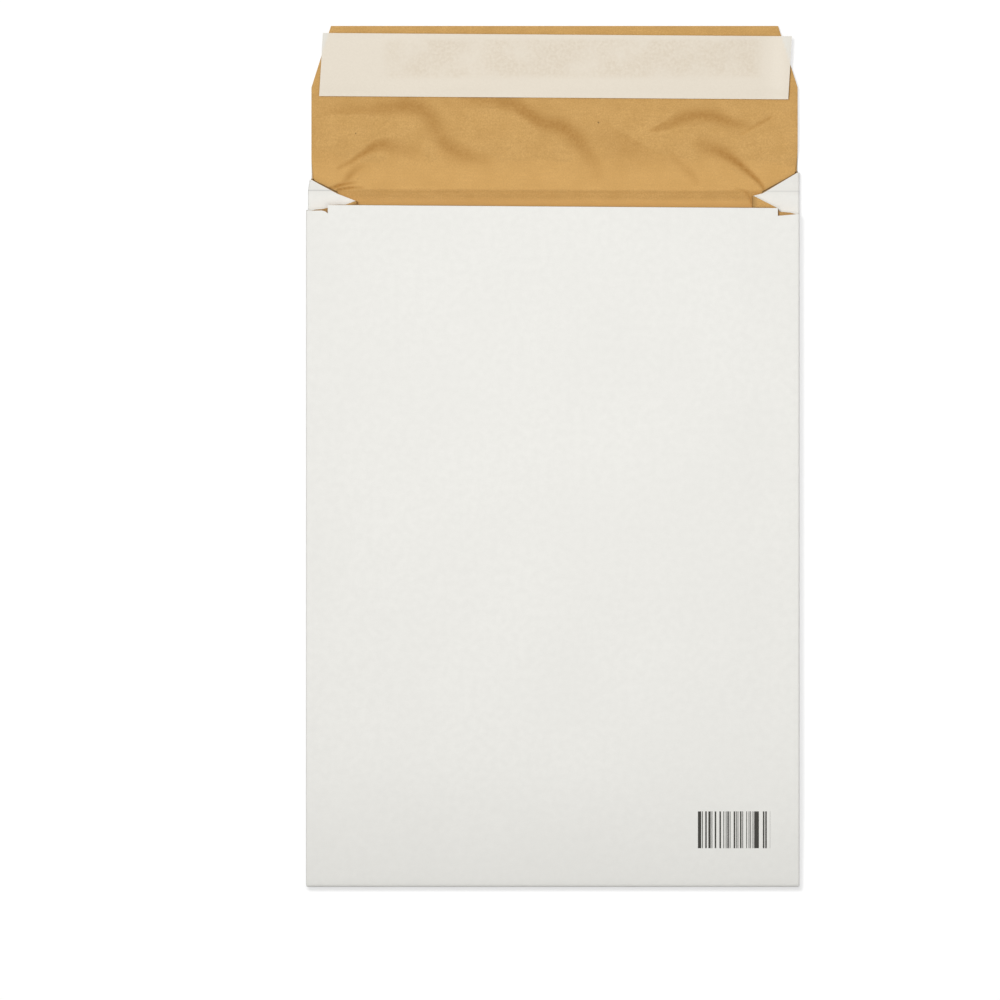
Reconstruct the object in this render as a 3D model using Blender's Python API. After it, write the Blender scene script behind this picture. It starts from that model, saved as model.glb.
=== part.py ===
# Gusseted padded envelope of B4 size, lying on its front panel with the flap open.
# The back panel is up, the flap points to +Y, +Z is up, and lengths are in metres.
# The bag is a paper tube with a pleat in each side, closed by a fold at the bottom.
# A padded liner of the same form lies inside it, and both run on as the flap.

import math

import bmesh
import bpy
from mathutils import Vector

# Body
BACK_WIDTH = 0.2500        # back panel, side fold to side fold
FRONT_WIDTH = 0.2482       # front panel, side fold to side fold
FRONT_SHIFT = 0.0009       # the front panel sits this far to +X of the back panel
BODY_LENGTH = 0.3530       # bottom fold to flap crease
GUSSET_DEPTH = 0.0234      # side fold to the pleat's centre fold, half the gusset

# Sheets
PAPER = 0.00035            # outer wrapper
PAD = 0.00150              # padded liner
GLUE_GAP = 0.00030         # between one piece and the next
LINER_GAP = 0.00035        # between two liner faces that lie on each other
PLEAT_GAP = 0.00030        # between the two outer faces inside a side pleat
CORNER_RADIUS = 0.0010     # bottom corners, seen from above
PLEAT_STOP = 0.0060        # the pleats are glued shut below this height

# Flap
FLAP_LENGTH = 0.0833       # crease to top edge
FLAP_WIDTH = 0.2464        # side edge to side edge
CHAMFER_WIDTH = 0.0099     # corner cut, across
CHAMFER_LENGTH = 0.0312    # corner cut, along
SCORE_WIDTH = 0.0030       # score pressed into the liner at the crease
SCORE_DEPTH = 0.00055
PINCH_WIDTH = 0.0022       # the padding is pressed thinner along the flap's cut edge
PINCH_DEPTH = 0.00050

# Creases in the flap's liner. Each route runs over the flap as shares of its width, from
# its middle, and of its length, from the crease. A soft one is wide, a sharp one is narrow.
SOFT_WIDTH = 0.0090
SOFT_DEPTH = 0.00040
SHARP_WIDTH = 0.0040
SHARP_DEPTH = 0.00055
SOFT_ROUTES = [
    [(-0.455, 0.48), (-0.36, 0.50), (-0.28, 0.50), (-0.245, 0.40), (-0.222, 0.25), (-0.195, 0.18), (-0.15, 0.18)],
    [(-0.16, 0.54), (-0.09, 0.53), (-0.05, 0.46), (-0.015, 0.38), (0.02, 0.38), (0.045, 0.30), (0.09, 0.14)],
    [(0.18, 0.36), (0.21, 0.36), (0.25, 0.41), (0.30, 0.46), (0.36, 0.43), (0.41, 0.37)],
    [(0.235, 0.21), (0.27, 0.12), (0.29, 0.07)],
]
SHARP_ROUTES = [
    [(-0.436, 0.14), (-0.40, 0.20), (-0.37, 0.27), (-0.345, 0.28), (-0.30, 0.19)],
    [(0.43, 0.04), (0.39, 0.125), (0.355, 0.20), (0.32, 0.26), (0.29, 0.29)],
    [(0.37, 0.29), (0.41, 0.37), (0.448, 0.45), (0.475, 0.50)],
]

# Cuts at the mouth, as drops below the crease or along a panel's edge
MOUTH_DROP = 0.0081        # crease to back panel's edge at its middle
MOUTH_SKEW = 0.0017        # how much lower the back panel's edge is at +X than at -X
MARGIN = 0.0110            # width of the stepped margin at each end of that edge
STEP_DEPTH_LEFT = 0.0045   # height of the step, at -X
STEP_DEPTH_RIGHT = 0.0041  # and at +X
MARGIN_RISE_LEFT = 0.0015  # the margin climbs this much from the step's foot, at -X
MARGIN_RISE_RIGHT = 0.0011 # and at +X
RISE_RUN_LEFT = 0.0030     # and it climbs over this length, at -X
RISE_RUN_RIGHT = 0.0110    # and at +X
TAB_DROP_LEFT = 0.0018     # gusset's edge below the panel's edge beside the step, at -X
TAB_DROP_RIGHT = 0.0002    # and at +X
TAB_RUN_LEFT = 0.0030      # length of the short slant that follows it, at -X
TAB_RUN_RIGHT = 0.0010     # and at +X
TAB_RISE = 0.0010          # gusset's edge above the panel's edge at that slant's end
PLEAT_DROP_LEFT = 0.0054   # crease to the gusset's edge at its centre fold, at -X
PLEAT_DROP_RIGHT = 0.0028  # and at +X
FOLD_RISE_LEFT = 0.0060    # crease to the top of the front side fold, at -X
FOLD_RISE_RIGHT = 0.0091   # and at +X
BEND_DROP = 0.0011         # crease to the bend in the gusset's slanted edge
BEND_IN_LEFT = 0.0132      # flap's side edge to that bend, at -X
BEND_IN_RIGHT = 0.0183     # and at +X

# Closure
GLUE_LENGTH = 0.1900       # adhesive band
GLUE_WIDTH = 0.0240
GLUE_THICK = 0.00020
GLUE_X = 0.0100            # centre of the band
GLUE_DROP = 0.0194         # flap's top edge to the band's centre
STRIP_LENGTH = 0.2380      # release strip
STRIP_WIDTH = 0.0320
STRIP_THICK = 0.00015
STRIP_X = 0.0016           # centre of the strip
STRIP_DROP = 0.0203        # flap's top edge to the strip's centre
STRIP_TURN = math.radians(-0.47)
STRIP_SLANT = math.radians(3.0)   # slant of the strip's cut ends

# Facets
LOBE_STEPS = 10            # along a side fold's half round
PLEAT_STEPS = 8            # along a centre fold's half round
END_STEPS = 12             # along the bottom fold's half round
CORNER_STEPS = 4
ROUTE_STEPS = 3            # between two points of a crease's route
HOLLOW_STEPS = 4           # across a crease

CUT = 0.0020               # how far a cutter runs past what it cuts
NUDGE = 0.0001             # keeps the edges of two cuts from meeting in one point

# Derived sizes
LAMINATE = PAPER + GLUE_GAP + PAD              # one wall of the bag
LOBE = LAMINATE + LINER_GAP / 2                # outer radius of a side fold
THICKNESS = 4 * LOBE + PLEAT_GAP               # the whole bag, flat
LENGTH = BODY_LENGTH + FLAP_LENGTH
BOTTOM = -LENGTH / 2                           # y of the bottom fold
CREASE = BOTTOM + BODY_LENGTH                  # y of the flap's crease
TOP = BOTTOM + LENGTH                          # y of the flap's top edge
MIDDLE = THICKNESS / 2                         # z of the pleats


def material(name, colour, roughness):
    made = bpy.data.materials.new(name)
    made.use_nodes = True
    shader = made.node_tree.nodes["Principled BSDF"]
    shader.inputs["Base Color"].default_value = (*colour, 1.0)
    shader.inputs["Roughness"].default_value = roughness
    shader.inputs["Metallic"].default_value = 0.0
    return made


def finished(name, bm):
    # Turns a closed bmesh into an object, with its faces pointing out
    bmesh.ops.recalc_face_normals(bm, faces=bm.faces)
    mesh = bpy.data.meshes.new(name)
    bm.to_mesh(mesh)
    bm.free()
    made = bpy.data.objects.new(name, mesh)
    bpy.context.collection.objects.link(made)
    return made


def prism(name, outline, place, start, end):
    # The outline, a list of 2-D points, drawn out from start to end.
    # place turns a point and a height into x, y, z.
    bm = bmesh.new()
    lower = [bm.verts.new(place(point, start)) for point in outline]
    face = bm.faces.new(lower)
    drawn = bmesh.ops.extrude_face_region(bm, geom=[face])
    upper = [item for item in drawn["geom"] if isinstance(item, bmesh.types.BMVert)]
    rise = [high - low for low, high in zip(place(outline[0], start), place(outline[0], end))]
    bmesh.ops.translate(bm, verts=upper, vec=rise)
    return finished(name, bm)


def along_y(point, y):
    return (point[0], y, point[1])


def along_x(point, x):
    return (x, point[0], point[1])


def along_z(point, z):
    return (point[0], point[1], z)


def hide_cutter(cutter):
    cutter.hide_render = True
    cutter.display_type = "WIRE"
    return cutter


def boolean(target, tool, operation):
    step = target.modifiers.new(tool.name, "BOOLEAN")
    step.object = tool
    step.operation = operation
    step.solver = "EXACT"


def arc(x, y, radius, first, last, steps):
    # Points on a circle from one angle to another, in degrees
    angles = [math.radians(first + (last - first) * i / steps) for i in range(steps + 1)]
    return [(x + radius * math.cos(a), y + radius * math.sin(a)) for a in angles]


def tube_side(side, inset):
    # One side of the tube's section, from the front panel up to the back panel:
    # the front side fold, the pleat's centre fold, and the back side fold.
    front = side * FRONT_SHIFT + FRONT_WIDTH / 2 - LOBE
    pleat = side * FRONT_SHIFT + FRONT_WIDTH / 2 - GUSSET_DEPTH
    back = BACK_WIDTH / 2 - LOBE
    points = arc(front, LOBE, LOBE - inset, -90, 90, LOBE_STEPS)
    points += arc(pleat, MIDDLE, PLEAT_GAP / 2 + inset, 270, 90, PLEAT_STEPS)
    points += arc(back, THICKNESS - LOBE, LOBE - inset, -90, 90, LOBE_STEPS)
    return [(side * x, z) for x, z in points]


def tube_section(inset):
    # The bag's section across, moved inwards by inset: 0 is the wrapper's outside
    return tube_side(1, inset) + tube_side(-1, inset)[::-1]


def bag_volume(name, inset, length):
    # What lies inside the tube at that inset, closed by a half-round bottom
    body = prism(name, tube_section(inset), along_y, BOTTOM - CUT, BOTTOM + length)
    if inset == 0:
        for side in (1, -1):
            plug = pleat_plug(f"{name}_pleat_stop_{side:+d}", side)
            boolean(body, plug, "UNION")
    low, high = inset, THICKNESS - inset
    far = TOP + 2 * CUT
    outline = arc(BOTTOM + MIDDLE, MIDDLE, MIDDLE - inset, 270, 90, END_STEPS)
    outline += [(far, high), (far, low)]
    half = BACK_WIDTH / 2 + CUT
    end = hide_cutter(prism(f"{name}_bottom", outline, along_x, -half, half))
    boolean(body, end, "INTERSECT")
    return body


def pleat_plug(name, side):
    # The glue that shuts a pleat at the bottom, wide enough to bite into both walls
    bite = PLEAT_GAP / 2 + PAPER / 2
    inner = side * (FRONT_WIDTH / 2 - GUSSET_DEPTH - bite) + FRONT_SHIFT
    outer = side * (FRONT_WIDTH / 2 - LOBE / 2) + FRONT_SHIFT
    corners = [(inner, MIDDLE - bite), (outer, MIDDLE - bite), (outer, MIDDLE + bite), (inner, MIDDLE + bite)]
    return hide_cutter(prism(name, corners, along_y, BOTTOM - 2 * CUT, BOTTOM + PLEAT_STOP))


def mouth_height(x):
    # The back panel's top edge, which is cut a little out of square
    return CREASE - MOUTH_DROP - MOUTH_SKEW * x / BACK_WIDTH


def foot_height(side):
    # The foot of the step at the end of the back panel's edge
    depth = STEP_DEPTH_RIGHT if side > 0 else STEP_DEPTH_LEFT
    return mouth_height(side * (BACK_WIDTH / 2 - MARGIN)) - depth


def fold_height(side):
    # Where the stepped margin meets the back side fold
    return foot_height(side) + (MARGIN_RISE_RIGHT if side > 0 else MARGIN_RISE_LEFT)


def back_edge(side):
    # From the side fold inwards: the margin, its slant down, the step, the panel's edge
    step = side * (BACK_WIDTH / 2 - MARGIN)
    run = RISE_RUN_RIGHT if side > 0 else RISE_RUN_LEFT
    return [
        (side * (BACK_WIDTH / 2 + CUT), fold_height(side)),
        (step + side * run, fold_height(side)),
        (step, foot_height(side)),
        (step, mouth_height(step)),
    ]


def upper_gusset_edge(side):
    # The gusset half under the back panel, out to in: its glue tab, then a slant up to the centre fold
    step = side * (BACK_WIDTH / 2 - MARGIN)
    drop = PLEAT_DROP_RIGHT if side > 0 else PLEAT_DROP_LEFT
    run = TAB_RUN_RIGHT if side > 0 else TAB_RUN_LEFT
    tab = TAB_DROP_RIGHT if side > 0 else TAB_DROP_LEFT
    pleat = side * (FRONT_WIDTH / 2 - GUSSET_DEPTH) + FRONT_SHIFT
    return [
        (side * (BACK_WIDTH / 2 + CUT), fold_height(side)),
        (step + side * run, fold_height(side) + TAB_RISE),
        (step, mouth_height(step) - tab),
        (pleat, CREASE - drop),
    ]


def lower_gusset_edge(side):
    # The gusset half over the front panel, out to in: down from the side fold, a bend, the centre fold
    drop = PLEAT_DROP_RIGHT if side > 0 else PLEAT_DROP_LEFT
    rise = FOLD_RISE_RIGHT if side > 0 else FOLD_RISE_LEFT
    bend = BEND_IN_RIGHT if side > 0 else BEND_IN_LEFT
    edge = side * FLAP_WIDTH / 2 + FRONT_SHIFT
    pleat = side * (FRONT_WIDTH / 2 - GUSSET_DEPTH) + FRONT_SHIFT
    slope = (rise + BEND_DROP) / bend
    return [
        (edge + side * 2 * CUT, CREASE + rise + 2 * CUT * slope),
        (edge - side * bend, CREASE - BEND_DROP),
        (pleat, CREASE - drop),
    ]


def mouth_cutter(name, edge, low, high):
    # Takes away every layer between two heights beyond an edge drawn across the mouth
    far = TOP + 3 * CUT
    outline = edge(-1) + edge(1)[::-1]
    outline += [(outline[-1][0], far), (outline[0][0], far)]
    return hide_cutter(prism(name, outline, along_z, low, high))


def flap_side_cutter(side):
    # Beyond the side fold's top the sheet ends at the flap's side edge and its corner cut
    edge = side * FLAP_WIDTH / 2 + FRONT_SHIFT
    rise = FOLD_RISE_RIGHT if side > 0 else FOLD_RISE_LEFT
    out = side * (BACK_WIDTH / 2 + 3 * CUT)
    lean = CHAMFER_WIDTH / CHAMFER_LENGTH
    over = 3 * CUT
    start = CREASE + rise + NUDGE
    outline = [
        (edge, start),
        (edge, TOP - CHAMFER_LENGTH),
        (edge - side * (CHAMFER_WIDTH + over * lean), TOP + over),
        (out, TOP + over),
        (out, start),
    ]
    name = "flap_side_right" if side > 0 else "flap_side_left"
    return hide_cutter(prism(name, outline, along_z, -CUT, THICKNESS + CUT))


def corner_outline():
    # The bag's outline from above, with its rounded bottom corners
    half = BACK_WIDTH / 2
    low = BOTTOM + CORNER_RADIUS
    inner = half - CORNER_RADIUS
    outline = arc(-inner, low, CORNER_RADIUS, 180, 270, CORNER_STEPS)
    outline += arc(inner, low, CORNER_RADIUS, 270, 360, CORNER_STEPS)
    outline += [(half, TOP), (-half, TOP)]
    return outline


def score_cutter():
    # A shallow round-bottomed score across the flap's liner, as far as the side folds
    face = LAMINATE
    radius = (SCORE_WIDTH ** 2 / 4 + SCORE_DEPTH ** 2) / (2 * SCORE_DEPTH)
    spread = math.degrees(math.asin(SCORE_WIDTH / 2 / radius))
    centre = face - SCORE_DEPTH + radius
    outline = arc(CREASE, centre, radius, 270 - spread, 270 + spread, CORNER_STEPS)
    lift = LINER_GAP / 2
    outline += [(CREASE + SCORE_WIDTH / 2, face + lift), (CREASE - SCORE_WIDTH / 2, face + lift)]
    half = FRONT_WIDTH / 2 - LOBE
    return hide_cutter(prism("crease_score", outline, along_x, FRONT_SHIFT - half, FRONT_SHIFT + half))


def flap_edge():
    # The flap's cut edge, from the top of the right side fold round to that of the left one
    right, left = FRONT_SHIFT + FLAP_WIDTH / 2, FRONT_SHIFT - FLAP_WIDTH / 2
    corner = TOP - CHAMFER_LENGTH - NUDGE
    cut = CHAMFER_WIDTH + NUDGE
    points = [
        (right, CREASE + FOLD_RISE_RIGHT + PAPER), (right, corner), (right - cut, TOP),
        (left + cut, TOP), (left, corner), (left, CREASE + FOLD_RISE_LEFT + PAPER),
    ]
    return [Vector(point) for point in points]


def moved_out(points, distance):
    # The same line, moved to its outer side, with mitred corners
    runs = [(stop - start).normalized() for start, stop in zip(points, points[1:])]
    moved = []
    for i, point in enumerate(points):
        beside = [Vector((run.y, -run.x)) for run in runs[max(i - 1, 0):i + 1]]
        mitre = (beside[0] + beside[-1]).normalized()
        moved.append(point + mitre * distance / mitre.dot(beside[0]))
    return moved


def pinch_cutter():
    # A wedge along the flap's cut edge, whose slanted face meets the liner's face
    edge = flap_edge()
    slope = PINCH_DEPTH / PINCH_WIDTH
    high = LOBE + LINER_GAP / 3
    start = PINCH_WIDTH + (high - LAMINATE) / slope
    low = LAMINATE - PINCH_DEPTH - CUT * slope
    bm = bmesh.new()
    rings = [
        [bm.verts.new((*point, z)) for point in moved_out(edge, distance)]
        for distance, z in ((-start, high), (CUT, low), (CUT, high))
    ]
    for i in range(len(edge) - 1):
        for ring, following in zip(rings, rings[1:] + rings[:1]):
            bm.faces.new((ring[i], ring[i + 1], following[i + 1], following[i]))
    bm.faces.new([ring[0] for ring in rings])
    bm.faces.new([ring[-1] for ring in rings])
    return hide_cutter(finished("edge_pinch", bm))


def smooth_route(route):
    # A curve through the route's points, with its slope at each taken from the two beside it
    points = [Vector((FRONT_SHIFT + x * FLAP_WIDTH, CREASE + y * FLAP_LENGTH)) for x, y in route]
    ends = [2 * points[0] - points[1]] + points + [2 * points[-1] - points[-2]]
    curve = []
    for i in range(1, len(ends) - 2):
        start, stop = ends[i], ends[i + 1]
        leave, arrive = (stop - ends[i - 1]) / 2, (ends[i + 2] - start) / 2
        for step in range(ROUTE_STEPS):
            t = step / ROUTE_STEPS
            curve.append(
                start * (2 * t ** 3 - 3 * t ** 2 + 1) + leave * (t ** 3 - 2 * t ** 2 + t)
                + stop * (3 * t ** 2 - 2 * t ** 3) + arrive * (t ** 3 - t ** 2)
            )
    return curve + [points[-1]]


def groove_cutter(name, route, width, depth):
    # A hollow with a parabola for its section, drawn along the route and dying out at both ends
    curve = smooth_route(route)
    lift = LINER_GAP / 3
    last = len(curve) - 1
    bm = bmesh.new()
    rings = []
    for i, point in enumerate(curve):
        swell = 0.25 + 0.75 * math.sin(math.pi * i / last)
        along = (curve[min(i + 1, last)] - curve[max(i - 1, 0)]).normalized()
        ring = []
        for step in range(HOLLOW_STEPS + 1):
            across = 2 * step / HOLLOW_STEPS - 1
            x = point.x - along.y * across * swell * width / 2
            y = point.y + along.x * across * swell * width / 2
            drop = (depth * swell + lift) * (1 - across ** 2)
            ring.append(bm.verts.new((x, y, LAMINATE + lift - drop)))
        rings.append(ring)
    for near, off in zip(rings, rings[1:]):
        for step in range(HOLLOW_STEPS):
            bm.faces.new((near[step], near[step + 1], off[step + 1], off[step]))
        bm.faces.new((near[0], off[0], off[-1], near[-1]))
    bm.faces.new(rings[0])
    bm.faces.new(rings[-1])
    return hide_cutter(finished(name, bm))


def mouth_cutters():
    overlap = PLEAT_GAP / 3
    above = THICKNESS + CUT
    return [
        mouth_cutter("lower_gusset_trim", lower_gusset_edge, LOBE, MIDDLE + overlap),
        mouth_cutter("upper_gusset_trim", upper_gusset_edge, MIDDLE, THICKNESS - LOBE),
        mouth_cutter("back_panel_trim", back_edge, THICKNESS - LOBE - overlap, above),
        flap_side_cutter(-1),
        flap_side_cutter(1),
    ]


def make_bag_layer(name, outer, inner, trims):
    # A wall of the bag between two insets, with the mouth and the flap trimmed
    layer = bag_volume(name, outer, LENGTH)
    hollow = hide_cutter(bag_volume(f"{name}_hollow", inner, LENGTH + CUT))
    boolean(layer, hollow, "DIFFERENCE")
    for trim in trims:
        boolean(layer, trim, "DIFFERENCE")
    return layer


def make_wrapper(trims):
    wrapper = make_bag_layer("outer_wrapper", 0, PAPER, trims)
    corners = hide_cutter(prism("bottom_corners", corner_outline(), along_z, -CUT, THICKNESS + CUT))
    boolean(wrapper, corners, "INTERSECT")
    wrapper.data.materials.append(material("white_kraft_paper", (0.83, 0.82, 0.77), 0.75))


def make_liner(trims):
    liner = make_bag_layer("padded_liner", PAPER + GLUE_GAP, LAMINATE, trims)
    boolean(liner, score_cutter(), "DIFFERENCE")
    boolean(liner, pinch_cutter(), "DIFFERENCE")
    for i, route in enumerate(SOFT_ROUTES):
        boolean(liner, groove_cutter(f"soft_crease_{i}", route, SOFT_WIDTH, SOFT_DEPTH), "DIFFERENCE")
    for i, route in enumerate(SHARP_ROUTES):
        boolean(liner, groove_cutter(f"sharp_crease_{i}", route, SHARP_WIDTH, SHARP_DEPTH), "DIFFERENCE")
    liner.data.materials.append(material("brown_padded_kraft", (0.62, 0.38, 0.15), 0.85))


def make_adhesive():
    half, reach = GLUE_LENGTH / 2, GLUE_WIDTH / 2
    low = LAMINATE + GLUE_GAP
    centre = TOP - GLUE_DROP
    outline = [
        (GLUE_X - half, centre - reach), (GLUE_X + half, centre - reach),
        (GLUE_X + half, centre + reach), (GLUE_X - half, centre + reach),
    ]
    band = prism("adhesive_band", outline, along_z, low, low + GLUE_THICK)
    band.data.materials.append(material("hot_melt_adhesive", (0.55, 0.38, 0.18), 0.35))


def make_strip():
    half, reach = STRIP_LENGTH / 2, STRIP_WIDTH / 2
    slant = reach * math.tan(STRIP_SLANT)
    low = LAMINATE + GLUE_GAP + GLUE_THICK + GLUE_GAP
    flat = [
        (-half - slant, -reach), (half - slant, -reach),
        (half + slant, reach), (-half + slant, reach),
    ]
    cos, sin = math.cos(STRIP_TURN), math.sin(STRIP_TURN)
    outline = [(STRIP_X + x * cos - y * sin, TOP - STRIP_DROP + x * sin + y * cos) for x, y in flat]
    strip = prism("release_strip", outline, along_z, low, low + STRIP_THICK)
    strip.data.materials.append(material("silicone_release_paper", (0.79, 0.72, 0.61), 0.45))


def main():
    for old in list(bpy.data.objects):
        bpy.data.objects.remove(old, do_unlink=True)
    trims = mouth_cutters()
    make_wrapper(trims)
    make_liner(trims)
    make_adhesive()
    make_strip()


main()
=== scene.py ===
import math

import bpy
import numpy as np
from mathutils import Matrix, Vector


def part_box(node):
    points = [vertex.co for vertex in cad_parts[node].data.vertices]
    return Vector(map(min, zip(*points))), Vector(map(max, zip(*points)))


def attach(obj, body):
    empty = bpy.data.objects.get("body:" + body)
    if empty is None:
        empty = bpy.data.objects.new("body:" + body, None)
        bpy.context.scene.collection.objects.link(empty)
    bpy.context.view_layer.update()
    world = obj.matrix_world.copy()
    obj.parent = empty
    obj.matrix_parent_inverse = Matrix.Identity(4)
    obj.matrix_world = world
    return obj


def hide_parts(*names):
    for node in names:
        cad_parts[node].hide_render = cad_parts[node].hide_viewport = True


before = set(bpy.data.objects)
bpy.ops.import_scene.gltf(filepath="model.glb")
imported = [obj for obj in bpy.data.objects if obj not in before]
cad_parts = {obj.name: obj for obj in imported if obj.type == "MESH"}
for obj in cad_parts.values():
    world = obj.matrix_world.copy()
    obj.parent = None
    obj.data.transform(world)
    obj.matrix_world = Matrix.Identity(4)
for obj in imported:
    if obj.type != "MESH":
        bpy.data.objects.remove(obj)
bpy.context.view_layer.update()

print("frame loaded:", ", ".join(sorted(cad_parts)))

# The bag's sizes in metres, within a millimetre those of its solids. x runs across, y from the
# bottom fold to the flap's top edge, z up from the surface that the front panel lies on.
# A pair is for the left and the right side.
bag = dict(
    backWidth=0.2500, frontWidth=0.2482, frontShift=0.0009,  # the front panel sits a little to the right
    bodyLength=0.3530, gussetDepth=0.0234, cornerRadius=0.0010,
    paper=0.00035, pad=0.00150, glueGap=0.00030,          # the two sheets and the gap between them
    linerGap=0.00035, pleatGap=0.00030,                   # inside a side fold, between a gusset's halves
    flapLength=0.0833, flapWidth=0.2464, cornerCutWidth=0.0099, cornerCutLength=0.0312,
    scoreSkew=0.003,                                      # slope of the score at the flap's crease
    mouthDrop=0.0083, mouthSkew=0.0017, margin=0.0110,    # the back panel's top edge and its end margins
    pleatDrop=(0.0054, 0.0028),                           # crease to the gusset's edge at its centre fold
    foldRise=(0.0053, 0.0090),                            # crease to the top of the front side fold
    bendDrop=(0.0018, 0.0016), bendIn=(0.0132, 0.0178),   # the bend in the gusset's slanted cut
    bendLength=0.0008,
    # cut edges beside the mouth: (in from the back panel's side fold, down from the crease)
    gussetEdge=([(-0.0020, 0.0102), (0.0080, 0.0096), (0.0110, 0.0089), (0.0200, 0.0073)],
                [(-0.0020, 0.0119), (0.0100, 0.0109), (0.0110, 0.0091)]),
    marginEdge=([(-0.0020, 0.0105), (0.0080, 0.0103), (0.0098, 0.0108), (0.0110, 0.0118)],
                [(-0.0020, 0.0119), (0.0110, 0.0130)]),
    foldSquare=5.0,                                       # how square the side folds are, 2 is round
    pleatCrush=0.25,                                      # share of the padding left in the pleat's fold
    bottomSquare=6.0,                                     # how square the bottom fold is
    bottomTaper=0.30, taperLength=0.060,                  # how the bag thins towards it
    flattenLength=0.012,                                  # over this length the flap's edge comes to lie flat
    mouthRows=0.016,                                      # from here up the rows follow the cuts
    # beside the mouth the left gusset's lower fold stands out: how far, how far in that reaches,
    # and where it begins and ends from the crease
    standOut=0.00085, standReach=0.010, standBelow=(-0.022, -0.012), standAbove=(-0.001, 0.0058),
)
wallThick = bag["paper"] + bag["glueGap"] + bag["pad"]    # one wall of the bag, both layers
foldRadius = wallThick + bag["linerGap"] / 2              # outside of a side fold
bagThick = 4 * foldRadius + bag["pleatGap"]
midHeight = bagThick / 2
bottomY = -(bag["bodyLength"] + bag["flapLength"]) / 2
creaseY = bottomY + bag["bodyLength"]
topY = creaseY + bag["flapLength"]


def smoothStep(low, high, value):
    # 0 below low, 1 above high, 3t^2 - 2t^3 between
    t = np.clip((value - low) / (high - low), 0, 1)
    return t * t * (3 - 2 * t)


def bySide(pair, side):
    return pair[1] if side > 0 else pair[0]


def squared(angle, power):
    # The point of a superellipse at an angle: cos a and sin a, each to the power 2 / n, signs kept
    cos, sin = np.cos(angle), np.sin(angle)
    return np.sign(cos) * np.abs(cos) ** (2 / power), np.sign(sin) * np.abs(sin) ** (2 / power)


def onFold(x, z, degrees, radius=foldRadius, power=bag["foldSquare"], way=-1, crush=1):
    # Points p = centre + radius (cos a, sin a) on a fold, and the way q in which the wall gets
    # thicker: inwards (-1) or outwards (1), with its share across drawn in by crush
    cos, sin = squared(np.radians(degrees), power)
    return np.stack([x + radius * cos, z + radius * sin, way * cos * crush, way * sin], axis=1)


def onLine(xs, z, up):
    # Points along a flat panel, whose wall gets thicker upwards (1) or downwards (-1)
    xs = np.asarray(xs, float)
    flat = np.zeros_like(xs)
    return np.stack([xs, flat + z, flat, flat + up], axis=1)


def spread(stops, steps):
    # Evenly spaced values between the stops, with about so many steps in all
    whole = abs(stops[-1] - stops[0])
    parts = []
    for a, b in zip(stops, stops[1:]):
        parts.append(np.linspace(a, b, max(2, round(steps * abs(b - a) / whole) + 1))[:-1])
    return np.concatenate(parts + [[stops[-1]]])


def columnsBy(stops, gaps):
    # Values from the first stop up to the last, which is left out. gaps has pairs (limit, gap):
    # below that limit the values are about so far apart, and the limits are kept like stops.
    limits, widths = np.transpose(gaps)
    stops = np.unique(np.concatenate([stops, limits[limits < max(stops)]]))
    parts = []
    for a, b in zip(stops, stops[1:]):
        gap = widths[np.searchsorted(limits, (a + b) / 2)]
        parts.append(np.linspace(a, b, max(2, round((b - a) / gap) + 1))[:-1])
    return np.concatenate(parts)


def mouthY(x):
    # The back panel's top edge, cut a little out of square
    return creaseY - bag["mouthDrop"] - bag["mouthSkew"] * x / bag["backWidth"]


ringKinds = ["flap", "frontFold", "lowerGusset", "pleat", "upperGusset", "margin", "back"]


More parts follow.
